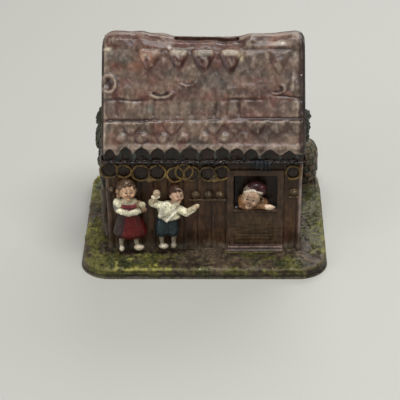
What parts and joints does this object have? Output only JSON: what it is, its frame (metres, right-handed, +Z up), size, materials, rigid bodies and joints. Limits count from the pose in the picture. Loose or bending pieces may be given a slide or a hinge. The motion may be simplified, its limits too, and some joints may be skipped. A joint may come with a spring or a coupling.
{
  "type": "still bank",
  "caption": "Painted cast iron still bank shaped as a gingerbread cottage on a plinth, with a coin slot in the ridge and an oblong turn-pin trap in the base.",
  "frame": {"origin": "centre of the plinth's resting face, on the table", "axes": "+X along the ridge to the right of someone facing the front door, +Y from the front wall to the back, +Z up"},
  "size_m": [0.115, 0.098, 0.1035],
  "materials": {
    "gingerbread_paint": "worn chocolate brown oil paint with a grey-pink icing roof over cast iron",
    "ground_paint": "dark brown ground with green and yellow-green brushed grass over cast iron",
    "figure_paint": "hand painted skin, white linen, red and blue cloth over cast iron",
    "trap_iron": "black japanned cast iron, worn",
    "screw_steel": "darkened steel with worn slots",
    "pin_steel": "dull worn steel"
  },
  "bodies": {
    "bank": {"plinth": "ground_paint", "house_front": "gingerbread_paint", "house_back": "gingerbread_paint", "seam_screws": "screw_steel", "plinth_screws": "screw_steel", "girl_figure": "figure_paint", "boy_figure": "figure_paint", "old_woman_figure": "figure_paint"},
    "trap": {"trap_plate": "trap_iron"},
    "pin": {"turn_pin": "pin_steel", "lock_bar": "pin_steel"}
  },
  "joints": [
    {"name": "trap_drop", "type": "slide", "parent": "bank", "child": "trap", "axis": [0, 0, -1], "range_m": [0, 0.03]},
    {"name": "pin_turn", "type": "hinge", "parent": "trap", "child": "pin", "pos_m": [0, 0, 0.0085], "axis": [0, 0, 1], "range_deg": [0, 90]}
  ]
}
